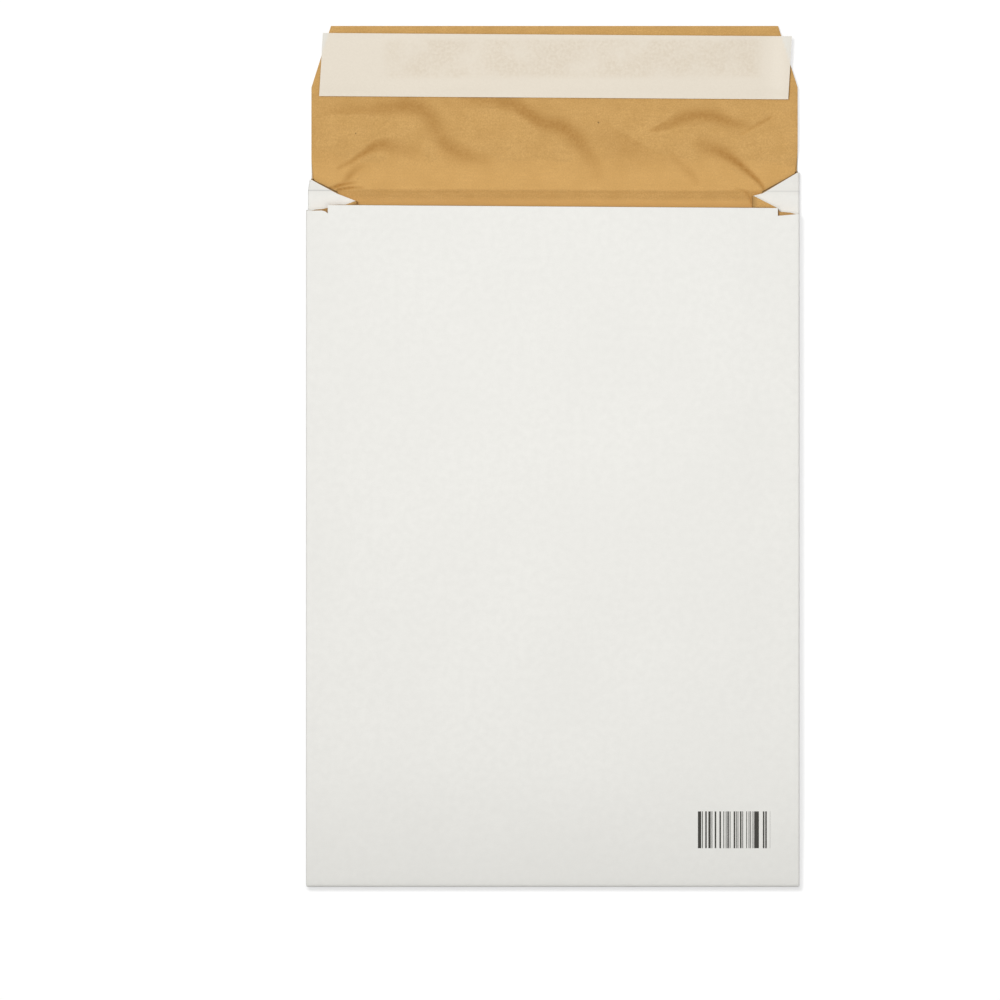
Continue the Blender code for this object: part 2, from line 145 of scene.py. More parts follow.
def sideProfile(side, steps):
    # The section's right half (side 1), or its mirror image, from the middle of the front panel up to
    # the middle of the back panel. Columns: x, z, the way q the wall thickens, the height up to which
    # the sheet is whole all round, the flap's or the back panel's own cut edge, and the kind of place.
    shift = side * bag["frontShift"]
    front = shift + bag["frontWidth"] / 2 - foldRadius
    pleat = shift + bag["frontWidth"] / 2 - bag["gussetDepth"]
    halfBack = bag["backWidth"] / 2
    back = halfBack - foldRadius
    edge = shift + bag["flapWidth"] / 2                   # flap's side edge
    knee = edge - bag["cornerCutWidth"]
    rise = creaseY + bySide(bag["foldRise"], side)
    bend = edge - bySide(bag["bendIn"], side)
    step = halfBack - bag["margin"]
    pleatTop = creaseY - bySide(bag["pleatDrop"], side)
    lowerZ, upperZ = foldRadius, bagThick - foldRadius    # centres of the side folds
    edgeAngle = -np.degrees(np.arccos(((edge - front) / foldRadius) ** (bag["foldSquare"] / 2)))
    quarter = steps["fold"] // 2
    parts, heights, cuts, kinds = [], [], [], []

    def add(kind, points, height, cut=None):
        parts.append(points)
        heights.append(np.broadcast_to(height, len(points)))
        cuts.append(np.full(len(points), np.nan) if cut is None else cut)
        kinds.append(np.full(len(points), ringKinds.index(kind)))

    def flapCut(xs):
        return topY - np.clip((xs - knee) / bag["cornerCutWidth"], 0, 1) * bag["cornerCutLength"]

    def cutLine(points, xs):
        inwards, drop = np.transpose(points)
        return np.interp(-xs, inwards - halfBack, creaseY - drop)

    def cornersOf(points):
        return [halfBack - inwards for inwards, _ in points if inwards > 0]

    flat = onLine(columnsBy([shift, knee, front], steps["flap"]), 0, 1)
    add("flap", flat, rise, flapCut(flat[:, 0]))
    curl = onFold(front, lowerZ, np.linspace(-90, edgeAngle, 4))
    add("flap", curl, rise, flapCut(curl[:, 0]))
    add("frontFold", onFold(front, lowerZ, np.linspace(edgeAngle, 0, steps["fold"] // 3)[1:]), rise)

    # the slanted cut runs from the fold down to its bend, and on to the pleat
    lowX = [pleat - 1, pleat, bend, edge, edge + 1]
    lowY = [pleatTop, pleatTop, creaseY - bySide(bag["bendDrop"], side), rise, rise]
    fold = onFold(front, lowerZ, np.linspace(0, 90, quarter)[1:])
    add("lowerGusset", fold, np.interp(fold[:, 0], lowX, lowY))
    run = onLine(spread([front, bend, bend - bag["bendLength"], pleat], steps["gusset"])[1:],
                 2 * foldRadius, -1)
    add("lowerGusset", run, np.interp(run[:, 0], lowX, lowY))
    turn = onFold(pleat, midHeight, np.linspace(270, 90, steps["pleat"])[1:],
                  bag["pleatGap"] / 2, 2, 1, bag["pleatCrush"])
    add("pleat", turn, pleatTop)

    tab = bySide(bag["gussetEdge"], side) + [(halfBack - pleat, creaseY - pleatTop)]
    corners = cornersOf(tab[::-1])[1:]
    run = onLine(spread([pleat] + corners + [back], steps["gusset"])[1:], bagThick - 2 * foldRadius, 1)
    add("upperGusset", run, cutLine(tab, run[:, 0]))
    fold = onFold(back, upperZ, np.linspace(-90, 0, quarter)[1:])
    add("upperGusset", fold, cutLine(tab, fold[:, 0]))

    margin = bySide(bag["marginEdge"], side)
    fold = onFold(back, upperZ, np.linspace(0, 90, quarter)[1:])
    add("margin", fold, cutLine(margin, fold[:, 0]))
    run = onLine(spread([back] + cornersOf(margin), 8)[1:], bagThick, -1)
    add("margin", run, cutLine(margin, run[:, 0]))
    cuts[-1][-1] = mouthY(side * step)                    # the step: two heights at one place
    inner = onLine(spread([step, 0], steps["back"])[1:], bagThick, -1)
    add("back", inner, creaseY - margin[-1][1], mouthY(side * inner[:, 0]))

    table = np.column_stack([np.concatenate(part) for part in (parts, heights, cuts, kinds)])
    table[:, 0] *= side
    table[:, 2] *= side
    return table


def ringProfile(steps):
    # Both halves joined into one closed ring, anticlockwise from the front panel's middle
    right, left = sideProfile(1, steps), sideProfile(-1, steps)[::-1]
    right[0, 0] = (right[0, 0] + left[-1, 0]) / 2
    ring = np.concatenate([right, left[1:-1]])
    for low, high in ((0.5 * bagThick, 2), (-1, 0.25 * foldRadius)):
        # the heights shared by all layers run straight across the back panel and across the flap
        there = np.where((ring[:, 1] > low) & (ring[:, 1] < high) & ~np.isnan(ring[:, 5]))[0]
        order = there[np.argsort(ring[there, 0])]
        ends = order[[0, -1]]
        ring[order, 4] = np.interp(ring[order, 0], ring[ends, 0], ring[ends, 4])
    return ring


def gridQuads(index):
    # Quads of a grid of point numbers, columns across and rows up
    corners = [index[:-1, :-1], index[1:, :-1], index[1:, 1:], index[:-1, 1:]]
    return np.stack(corners, axis=-1).reshape(-1, 4)


def closedShell(name, face, back, quads, ring=()):
    # face and back are a sheet's two sides, point for point, and the quads run anticlockwise seen
    # from the face. A wall closes every edge that only one quad has, and two caps close a ring.
    count = len(face)
    edges = np.stack([quads, np.roll(quads, -1, axis=1)], axis=2).reshape(-1, 2)
    keys = edges.min(axis=1) * count + edges.max(axis=1)
    _, first, uses = np.unique(keys, return_index=True, return_counts=True)
    rim = edges[first[uses == 1]]
    if len(ring):
        rim = rim[~np.isin(rim, ring).all(axis=1)]
    wall = np.stack([rim[:, 1], rim[:, 0], rim[:, 0] + count, rim[:, 1] + count], axis=1)
    faces = np.concatenate([quads, quads[:, ::-1] + count, wall]).tolist()
    if len(ring):
        faces += [list(ring[::-1]), [n + count for n in ring]]
    mesh = bpy.data.meshes.new(name)
    mesh.from_pydata(np.concatenate([face, back]).tolist(), [], faces)
    mesh.polygons.foreach_set("use_smooth", np.ones(len(faces), bool))
    mesh.update()
    mesh.set_sharp_from_angle(angle=math.radians(42))
    piece = bpy.data.objects.new(name, mesh)
    bpy.context.scene.collection.objects.link(piece)
    return piece


# The liner's cut edges: how it gapes along the gusset's slanted cut, as a share at the bend and
# what is lost from there over a run, and how dark the painted shadow at each edge is and how far
# down that fades
cutEdges = dict(
    gapeAtBend=1.5, gapeLost=0.9, gapeRun=0.015,
    slantFade=0.0006, panelShade=0.55, panelFade=0.0004,
    tabShade=(0.36, 0.20), pleatShade=0.30, pleatDepth=0.012,
    outerBand=0.0042,                                     # the back side folds, in from the outside
)


def bagSheet(name, outside, inside, steps, relief, proud=(0, 0, 0)):
    # A folded sheet. Its points are p + q t in the section, t the depth below the bag's outside, at the
    # height v along the bag. Near the bottom v is an angle f: z is drawn to the middle by sin f, and
    # y = bottom + t + (R - t)(1 - cos f), both squared off. relief(x, y, z, t) lifts the points.
    # proud is how far the sheet stands out at the gusset's slanted cut, at the back panel's edge and
    # at the back side folds. It gives the piece, and the darkness of a painted shadow for each point at the
    # cut edges.
    ring = ringProfile(steps)
    count = len(ring)
    kind = ring[:, 6].astype(int)
    number = {label: n for n, label in enumerate(ringKinds)}
    fromMiddle = np.abs(ring[:, 0] - bag["frontShift"])
    bend = bag["flapWidth"] / 2 - np.where(ring[:, 0] > 0, bag["bendIn"][1], bag["bendIn"][0])
    slantShare = (kind == number["lowerGusset"]) * smoothStep(-0.0007, -0.0001, fromMiddle - bend)
    alongSlant = np.clip((fromMiddle - bend) / cutEdges["gapeRun"], 0, 1)
    gape = cutEdges["gapeAtBend"] - cutEdges["gapeLost"] * alongSlant
    ring[:, 4] += proud[0] * slantShare * gape
    ring[kind == number["back"], 5] += proud[1]
    outer = np.abs(ring[:, 0]) > bag["backWidth"] / 2 - cutEdges["outerBand"]
    ring[outer & np.isin(kind, (number["margin"], number["upperGusset"])), 4] += proud[2]

    # rows: round the bottom, up the body, up to the cut all round, then the flap and the panel alone
    angles = np.radians([5, 10, 16, 23, 31, 40, 50, 62, 76, 90])
    rounding = bottomY + midHeight * (1 - (np.pi / 2 - angles))
    start = creaseY - bag["mouthRows"]
    body = np.concatenate([rounding, np.linspace(rounding[-1], start, steps["body"])[1:]])
    share, flapShare, edgeShare = (
        np.linspace(0, 1, rows)[:, None] for rows in (steps["mouth"], steps["flapRows"], 5))
    across = np.arange(count + 1) % count
    station = np.arange(count)
    hasCut = ~np.isnan(ring[:, 5])
    isFlap = hasCut & (ring[:, 1] < midHeight)
    flap = np.concatenate([np.where(isFlap & (station > count // 2))[0],
                           np.where(isFlap & (station <= count // 2))[0]])
    panel = np.where(hasCut & (ring[:, 1] > midHeight))[0]
    low, high = ring[:, 4], ring[:, 5]
    blocks = [(across, np.repeat(body[:, None], count + 1, axis=1)),
              (across, start + (low[across] - start) * share),
              (flap, low[flap] + (high - low)[flap] * flapShare),
              (panel, low[panel] + (high - low)[panel] * edgeShare)]

    # the blocks share the points on their borders, so equal places get one number
    places = [np.stack([np.broadcast_to(c, v.shape), np.round(v * 1e8)], axis=-1) for c, v in blocks]
    places = np.concatenate([place.reshape(-1, 2) for place in places])
    unique, index = np.unique(places, axis=0, return_inverse=True)
    index = index.reshape(-1)
    quads, done = [], 0
    for _, v in blocks:
        quads.append(gridQuads(index[done:done + v.size].reshape(v.shape).T))
        done += v.size
    quads = np.concatenate(quads)
    column, v = unique[:, 0].astype(int), unique[:, 1] * 1e-8
    bottomRow = np.where(v < rounding[0] + 1e-6)[0]
    bottomRow = bottomRow[np.argsort(column[bottomRow])]

    sides = []
    for t in (inside, outside):
        p, q = ring[column, 0:2], ring[column, 2:4]
        x, z = (p + q * t).T
        f = np.clip(np.pi / 2 - (rounding[-1] - v) / midHeight, 0, np.pi / 2)
        cos, sin = squared(f, bag["bottomSquare"])
        z = midHeight + (z - midHeight) * sin
        y = np.where(f < np.pi / 2 - 1e-6, bottomY + t + (midHeight - t) * (1 - np.clip(cos, 0, 1)), v)
        z *= 1 - bag["bottomTaper"] * np.clip(1 - (y - bottomY) / bag["taperLength"], 0, 1) ** 2
        # rounded bottom corners
        r = bag["cornerRadius"]
        fall = np.clip(r - (y - t - bottomY), 0, r)
        limit = bag["backWidth"] / 2 - t - r + np.sqrt(np.maximum(r * r - fall * fall, 0))
        x = np.clip(x, -limit, limit)
        # the left gusset's lower fold stands out beside the mouth
        beside = p[:, 0] - bag["frontShift"] + bag["frontWidth"] / 2
        begins, ends = bag["standBelow"], bag["standAbove"]
        standing = smoothStep(*begins, v - creaseY) * smoothStep(*ends[::-1], v - creaseY)
        standing = standing * smoothStep(bag["standReach"], 0, beside) * (p[:, 1] < midHeight)
        x = x - bag["standOut"] * standing
        # past the side fold the flap's edge lies flat again
        edge = bag["flapWidth"] / 2
        foldTop = creaseY + np.where(x > 0, bag["foldRise"][1], bag["foldRise"][0])
        flatten = smoothStep(0, bag["flattenLength"], v - foldTop) * (p[:, 1] < foldRadius)
        z = z + (t - z) * flatten
        reach = np.clip(p[:, 0] - bag["frontShift"], -edge, edge) + bag["frontShift"]
        x = x + (reach - x) * flatten
        sides.append(np.stack([x, y, z + relief(x, y, z, t)], axis=1))

    # each cut edge's painted shadow is s exp(-(depth / fade)^2), and the darkest one counts
    place, top = ring[column, 0], np.nan_to_num(high)[column]
    slant = slantShare[column] * np.exp(-((low[column] - v) / (cutEdges["slantFade"] * gape[column])) ** 2)
    isPanel = (kind[column] == number["back"]) & (proud[1] > 0)
    rim = cutEdges["panelShade"] * isPanel * np.exp(-((top - v) / cutEdges["panelFade"]) ** 2)
    tabEnd = bag["backWidth"] / 2 - bag["margin"] - 0.001
    isTab = (kind[column] == number["upperGusset"]) & (np.abs(place) > tabEnd)
    tab = isTab * np.where(place > 0, cutEdges["tabShade"][1], cutEdges["tabShade"][0])
    isPleat = (kind[column] == number["pleat"]) & (v > creaseY - cutEdges["pleatDepth"])
    paintedCutShadow = np.max([slant, rim, tab, cutEdges["pleatShade"] * isPleat], axis=0)
    return closedShell(name, sides[0], sides[1], quads, bottomRow), np.tile(paintedCutShadow, 2)


# Soft waves and creases

waves = dict(
    backHeights=(0.00022, 0.00016, 0.00012),              # three crossing swells of the back panel
    backLengths=(0.210, 0.130, 0.085),
    backTurns=(20, 75, -40),
    backShift=1.3,                                        # radians that each swell is shifted by
    plump=0.0004,                                         # how much higher the panel's middle stands
    flapHeight=0.0003, flapLengths=(0.075, 0.12), flapShift=0.6,
    curl=0.0016,                                          # height of the flap's right edge over the floor
    curlFrom=0.1055, curlReach=0.0185,                    # where across the flap it begins to rise
)


def swell(x, y, heights, lengths, turns):
    # sum of h cos(2 pi (x cos a + y sin a) / length + place)
    lift = np.zeros_like(x)
    for n, (height, length, turn) in enumerate(zip(heights, lengths, turns)):
        a = math.radians(turn)
        along = (x * math.cos(a) + y * math.sin(a)) / length
        lift += height * np.cos(2 * np.pi * along + waves["backShift"] * n)
    return lift


def backLift(x, y):
    # The back panel's swells, dying out at its folds and at the bottom, and the plumper middle
    beside, up = bag["backWidth"] / 2 - np.abs(x), y - bottomY
    rim = smoothStep(0, 0.030, beside) * smoothStep(0, 0.040, up)
    middle = smoothStep(0.014, 0.034, beside) * smoothStep(0.010, 0.060, up)
    swells = swell(x, y, waves["backHeights"], waves["backLengths"], waves["backTurns"])
    return rim * swells + waves["plump"] * middle


def edgeCurl(x, y):
    # The open flap's right edge curls up beside the glue, as the square of the distance from where
    # the curl begins, and only above the crease
    rising = np.clip((x - waves["curlFrom"]) / waves["curlReach"], 0, 1) ** 2
    return waves["curl"] * rising * smoothStep(0.008, 0.030, y - creaseY)


def flapLift(x, y):
    # One sine wave across times one along. The flap lies flat by the crease and under the strip.
    lengthX, lengthY = waves["flapLengths"]
    along = smoothStep(0.006, 0.022, y - creaseY) * smoothStep(0.034, 0.050, topY - y)
    wave = 1 + np.sin(2 * np.pi * x / lengthX + waves["flapShift"]) * np.cos(2 * np.pi * y / lengthY)
    return along * waves["flapHeight"] * wave + edgeCurl(x, y)


# Creases of the padded flap. Each route has points of x from the flap's middle and y from its
# crease, width and depth of the hollow there, all in millimetres.
creases = dict(
    score=(2.0, 0.22, -1.25),                             # width, depth and y of the crease's score
    lip=(1.4, 0.13, 0.6),                                 # width, height and y of the lip along it
    pinch=(2.2, 0.50),                                    # width and depth of the thin rim at the cut edge
    limits=(-0.3, 1.3),                                   # the highest lip and the deepest hollow
    routes=[
        # two wide creases at the left, and three fine ones that run out of its corner
        [(-119, 39.5, 12, .12), (-111, 40, 10, .24), (-95, 41, 9, .34), (-86, 41.5, 9, .42),
         (-78, 43, 9, .54), (-69.5, 42.5, 9, .55), (-64, 39, 9, .48), (-60.5, 32, 9, .38),
         (-57.5, 26, 9, .42), (-54, 21.5, 9, .52), (-49, 19, 9, .52), (-43, 17.5, 9, .38),
         (-34, 15.5, 10, .16)],
        [(-110, 11, 2, .30), (-103, 14.5, 2.5, .50), (-96.5, 19, 3.5, .62), (-91, 22.5, 6, .60),
         (-86.5, 23.5, 7, .52), (-80, 21.5, 8, .36), (-71.5, 19, 8, .20)],
        [(-108, 2.8, 2.2, .16), (-105.6, 4.8, 3, .42), (-103.6, 7.4, 3.6, .48),
         (-101.3, 10, 4.2, .36), (-97.5, 12.8, 5.5, .16)],
        [(-114, .9, 1.3, .60), (-111, 1.7, 1.5, .84), (-108, 2.8, 1.6, .84), (-104, 3.4, 1.7, .60),
         (-100.5, 4.0, 2.0, .20)],
        [(-110.5, .1, 1.3, .66), (-106, .9, 1.4, .84), (-102, 1.3, 1.4, .64), (-97, 1.1, 1.5, .22)],
        # the wide one in the middle
        [(-46, 46.5, 9, .22), (-38, 46, 9, .34), (-29, 45.5, 8, .46), (-20.5, 43.5, 8, .58),
         (-13.5, 39.2, 8, .62), (-7, 34, 8, .56), (-.5, 33.4, 8, .62), (6.3, 31, 9, .58),
         (11.4, 26.5, 9, .54), (15, 22, 9, .42), (20, 14, 9, .26), (22, 7, 8, .18)],
        # the arch at the right, the crease that runs to the cut, and the fine one up to the edge
        [(41, 32.5, 9, .20), (46, 31, 9, .34), (51, 30.8, 8, .38), (57, 33.2, 7.5, .44),
         (65.5, 37, 7, .52), (74, 38.2, 7, .60), (82.5, 37, 7, .56), (90.5, 34, 6, .44),
         (98.5, 32.5, 4, .26)],
        [(74, 23, 8, .26), (79, 21.5, 8, .46), (85.5, 18.8, 6.5, .66), (92.5, 14.2, 4.5, .72),
         (99.5, 8.2, 2.8, .74), (103, 4.9, 2.2, .74), (105.3, 2.4, 1.8, .68), (106.4, 0, 1.5, .50)],
        [(94, 28, 2, .16), (99, 31, 2.2, .36), (107, 35.4, 2.4, .40), (115, 40.2, 2.6, .32),
         (119, 42.6, 2.6, .12)],
        # faint hollows
        [(59, 18, 5, .20), (64, 13.5, 5, .28), (69, 8.5, 5, .28), (72.5, 3, 4, .22)],
        [(-55, 44, 7, .10), (-48, 40, 6, .20), (-44, 34, 6, .10)],
        [(26, 26, 20, .14), (39, 23, 24, .30), (53, 20, 18, .14)],
        [(-121, 27, 5, .14), (-112, 26, 5, .18), (-104, 25, 5, .08)],
        [(-117, 38, 18, .08), (-115.5, 32, 20, .14), (-115.5, 20, 20, .15), (-117, 11, 10, .06)],
        # the fine line beside the right tip
        [(91.5, 0.6, 1.4, .16), (95.5, -0.2, 1.3, .40), (97.6, -1.4, 1.4, .56),
         (99.4, -3.6, 1.4, .60), (100, -6.5, 1.3, .50)],
    ],
    ridges=[                                              # the same for the raised lips beside them
        [(89, 23.6, 2.4, .06), (93, 26, 2.4, .22), (100, 29.6, 2.4, .24), (107.5, 33.2, 2.4, .10)],
        [(-103, 10, 3, .06), (-98, 13.8, 3.4, .20), (-92.5, 17.2, 4, .18), (-87, 18, 4, .06)],
        [(-105, 2.2, 1.2, .10), (-101.5, 2.7, 1.4, .16), (-100, 5.6, 2.4, .22), (-97.5, 8.6, 2.8, .20),
         (-94, 10, 3, .08)],
        [(86, 14, 3.4, .06), (91.5, 11, 3, .20), (97, 7, 2.6, .22), (101.5, 3.6, 2, .12)],
    ],
)


def smoothRoute(route):
    # The route's points at every 0.7 mm, rounded off by a sliding mean over 2 reach + 1 of them. A
    # narrow crease, under 2.5 mm, is rounded less.
    points = np.asarray(route, float)
    run = np.concatenate([[0], np.cumsum(np.hypot(*np.diff(points[:, :2], axis=0).T))])
    stops = np.linspace(0, run[-1], max(8, int(run[-1] / 0.7)))
    fine = np.column_stack([np.interp(stops, run, points[:, n]) for n in range(4)])
    reach = 2 if points[:, 2].min() < 2.5 else 5
    padded = np.concatenate([np.repeat(fine[:1], reach, axis=0), fine, np.repeat(fine[-1:], reach, axis=0)])
    summed = np.cumsum(np.concatenate([np.zeros((1, 4)), padded]), axis=0)
    return (summed[2 * reach + 1:] - summed[:-2 * reach - 1]) / (2 * reach + 1)


def creaseDepth(x, y, kind):
    # The largest, over the routes of that kind, of d exp(-(r / s)^2): r is the distance from a route's
    # point, d its depth and s half its width. Points over 20 mm past a route's ends are left out.
    here = np.column_stack([x - bag["frontShift"], y - creaseY]) * 1000
    depth = np.zeros(len(here))
    for route in creases[kind]:
        fine = smoothRoute(route)
        near = np.where(np.abs(here[:, 0] - fine[:, 0].mean()) < np.ptp(fine[:, 0]) / 2 + 20)[0]
        for block in np.array_split(near, 12):            # in blocks, to save memory
            apart = ((here[block, None] - fine[None, :, :2]) ** 2).sum(axis=2)
            hollow = fine[:, 3] * np.exp(-apart / (fine[:, 2] / 2) ** 2)
            depth[block] = np.maximum(depth[block], hollow.max(axis=1))
    return depth / 1000


def overFlap(x, y):
    # How far a place lies inside the flap's side edges and cut corners, in metres, less than 0 outside
    beside = bag["flapWidth"] / 2 - np.abs(x - bag["frontShift"])
    slope = bag["cornerCutLength"] / bag["cornerCutWidth"]
    corner = (beside * slope + (topY - bag["cornerCutLength"] - y)) / math.hypot(1, slope)
    return np.minimum(beside, corner)


def edgePinch(x, y):
    # Distance r from the flap's cut edge gives depth (1 - r / width)^2
    width, depth = (value / 1000 for value in creases["pinch"])
    r = np.minimum(overFlap(x, y), topY - y)
    return depth * np.clip(1 - r / width, 0, 1) ** 2


def bagRelief(x, y, z, t):
    # What both sheets share: the back panel's swells above the middle, the flap's below it
    upper = (z > bagThick - foldRadius) * smoothStep(bagThick - foldRadius, bagThick - wallThick, z)
    lower = z < foldRadius
    return backLift(x, y) * upper + flapLift(x, y) * lower * (y > creaseY)


def linerRelief(x, y, z, t):
    # The liner's open face also has the creases, the pinched edge, and the score with its lip, each
    # a band d exp(-(level / 0.36 width)^2) along the crease
    lift = bagRelief(x, y, z, t)
    if t < wallThick - 1e-6:
        return lift
    here = np.where((z < wallThick + 1e-5) & (y > creaseY - 0.012))[0]
    x, y = x[here], y[here]
    bands = []
    for part in ("score", "lip"):
        width, depth, place = (value / 1000 for value in creases[part])
        level = y - creaseY - place + bag["scoreSkew"] * x
        bands.append(depth * np.exp(-(level / (width * 0.36)) ** 2))
    score = bands[0] - bands[1]
    hollow = creaseDepth(x, y, "routes") - creaseDepth(x, y, "ridges")
    pinch = edgePinch(x, y) * smoothStep(0.004, 0.012, y - creaseY)
    highest, deepest = (limit / 1000 for limit in creases["limits"])
    lift[here] -= np.clip(score + hollow + pinch, highest, deepest)
    return lift


# Materials

def linear(code, alpha=1.0):
    # An sRGB hex colour as Blender's linear values
    parts = [int(code[n:n + 2], 16) / 255 for n in (1, 3, 5)]
    return tuple(c / 12.92 if c <= 0.04045 else ((c + 0.055) / 1.055) ** 2.4 for c in parts) + (alpha,)


def addNode(tree, kind, settings=(), inputs=()):
    # One node with its settings, and its inputs as values or as sockets to link
    node = tree.nodes.new("ShaderNode" + kind)
    for name, value in dict(settings).items():
        setattr(node, name, value)
    for name, value in dict(inputs).items():
        if isinstance(value, bpy.types.NodeSocket):
            tree.links.new(value, node.inputs[name])
        else:
            node.inputs[name].default_value = value
    return node


def newMaterial(name, roughness, ior):
    made = bpy.data.materials.new(name)
    made.use_nodes = True
    tree = made.node_tree
    tree.nodes.clear()
    shader = addNode(tree, "BsdfPrincipled", inputs={"Roughness": roughness, "IOR": ior})
    addNode(tree, "OutputMaterial", inputs={"Surface": shader.outputs[0]})
    return made, tree, shader


def mottle(tree, place, size, low, high, detail=2.0, stretch=(1, 1, 1)):
    # Cloudy noise whose blotches are about size millimetres across, spread out from 0 to 1
    scaled = addNode(tree, "VectorMath", {"operation": "MULTIPLY"}, {0: place, 1: stretch})
    noise = addNode(tree, "TexNoise", inputs={
        "Vector": scaled.outputs[0], "Scale": 1000 / size, "Detail": detail})
    return addNode(tree, "MapRange", inputs={0: noise.outputs[0], 1: low, 2: high}).outputs[0]


def within(tree, value, low, high):
    # 1 where low < value < high, else 0
    above = addNode(tree, "Math", {"operation": "GREATER_THAN"}, {0: value, 1: low})
    below = addNode(tree, "Math", {"operation": "LESS_THAN"}, {0: value, 1: high})
    both = addNode(tree, "Math", {"operation": "MULTIPLY"}, {0: above.outputs[0], 1: below.outputs[0]})
    return both.outputs[0]


def ramp(tree, value, low, high, top=1.0):
    # Smoothly from 0 at low to top at high
    eased = {"interpolation_type": "SMOOTHSTEP"}
    return addNode(tree, "MapRange", eased, {0: value, 1: low, 2: high, 4: top}).outputs[0]


def tinted(tree, base, tints):
    # A base colour with tints laid over it in turn. Each is some shares, whose product is how much
    # of the tint covers, and its colour.
    tone = linear(base)
    for shares, colour in tints:
        share = shares[0]
        for factor in shares[1:]:
            share = addNode(tree, "Math", {"operation": "MULTIPLY"}, {0: share, 1: factor}).outputs[0]
        mixed = addNode(tree, "Mix", {"data_type": "RGBA"}, {0: share, 6: tone, 7: linear(colour)})
        tone = mixed.outputs[2]
    return tone


# The block of plain bars on the paper: its box, the width of a module and the share of inked ones.
# And the grey line where the flap's score runs on over the gussets, painted shade standing in for
# the score's groove, with a painted shade on the gusset's white beside it: its slope, how far it lies
# below the crease, its half width, how far the painted shade below it fades, that shade, and how
# firm the line is at the left and at the right.
stockCode = dict(left=0.0735, right=0.1101, low=-0.1985, high=-0.1798, module=0.00040, inked=0.52)
gussetScore = dict(slope=0.0019, drop=0.0003, width=0.0006, fade=0.0030, shade=0.24, firm=(0.85, 0.50))


def bleachedKraft():
    # Bleached kraft paper, calendered: a matt white with cloudy formation a few millimetres across
    # and a fine fibre grain. One corner has a block of plain bars, as printed stock has.
    made, tree, shader = newMaterial("bleachedKraftPaper", 0.72, 1.5)
    place = addNode(tree, "TexCoord").outputs["Object"]
    x, y, z = addNode(tree, "SeparateXYZ", inputs={0: place}).outputs
    clouds = mottle(tree, place, 3.5, 0.32, 0.68)
    grain = mottle(tree, place, 0.5, 0.25, 0.75, 3)       # fibres are finer, this is as coarse as shows
    broad = mottle(tree, place, 60, 0.35, 0.65, 1)
    # painted shade: the white greys towards the bottom fold
    paintedDarkShare = ramp(tree, y, bottomY + 0.075, bottomY - 0.020)

    module = addNode(tree, "Math", {"operation": "DIVIDE"}, {0: x, 1: stockCode["module"]})
    whole = addNode(tree, "Math", {"operation": "FLOOR"}, {0: module.outputs[0]})
    chance = addNode(tree, "TexWhiteNoise", {"noise_dimensions": "1D"}, {"W": whole.outputs[0]})
    inked = addNode(tree, "Math", {"operation": "LESS_THAN"}, {0: chance.outputs[0], 1: stockCode["inked"]})
    bars = (inked.outputs[0],
            within(tree, x, stockCode["left"], stockCode["right"]),
            within(tree, y, stockCode["low"], stockCode["high"]),
            within(tree, z, midHeight + 0.002, bagThick + 0.003))

    level = addNode(tree, "Math", {"operation": "MULTIPLY_ADD"}, {0: x, 1: gussetScore["slope"], 2: y})
    above = addNode(tree, "Math", {"operation": "SUBTRACT"},
                    {0: level.outputs[0], 1: creaseY - gussetScore["drop"]})
    apart = addNode(tree, "Math", {"operation": "ABSOLUTE"}, {0: above.outputs[0]})
    line = ramp(tree, apart.outputs[0], gussetScore["width"], 0.0)
    shade = ramp(tree, above.outputs[0], -gussetScore["fade"], 0.0, gussetScore["shade"])
    inner = within(tree, z, 2 * foldRadius - 0.0006, 2 * foldRadius + 0.0002)
    left, right = gussetScore["firm"]
    firm = addNode(tree, "MapRange", inputs={0: x, 1: -0.11, 2: 0.11, 3: left, 4: right}).outputs[0]

    tone = tinted(tree, "#ECEBE6", [
        ((clouds,), "#F0EFEA"),
        ((broad, 0.30), "#E9E8E3"),
        ((grain, 0.36), "#E5E4DE"),
        ((paintedDarkShare, 0.35), "#DEDDD8"),                        # painted shade: a trace greyer towards the bottom
        (bars, "#2A2822"),
        # painted shade: the lower gusset's white, greyer above the score
        ((inner, shade), "#DAD6CE"),
        # painted shade: the score's grey line over the gusset
        ((line, inner, firm), "#C9C8C4"),
    ])
    tree.links.new(tone, shader.inputs["Base Color"])
    bump = addNode(tree, "Bump", inputs={"Strength": 0.5, "Distance": 0.00003, "Height": grain})
    tree.links.new(bump.outputs[0], shader.inputs["Normal"])
    return made


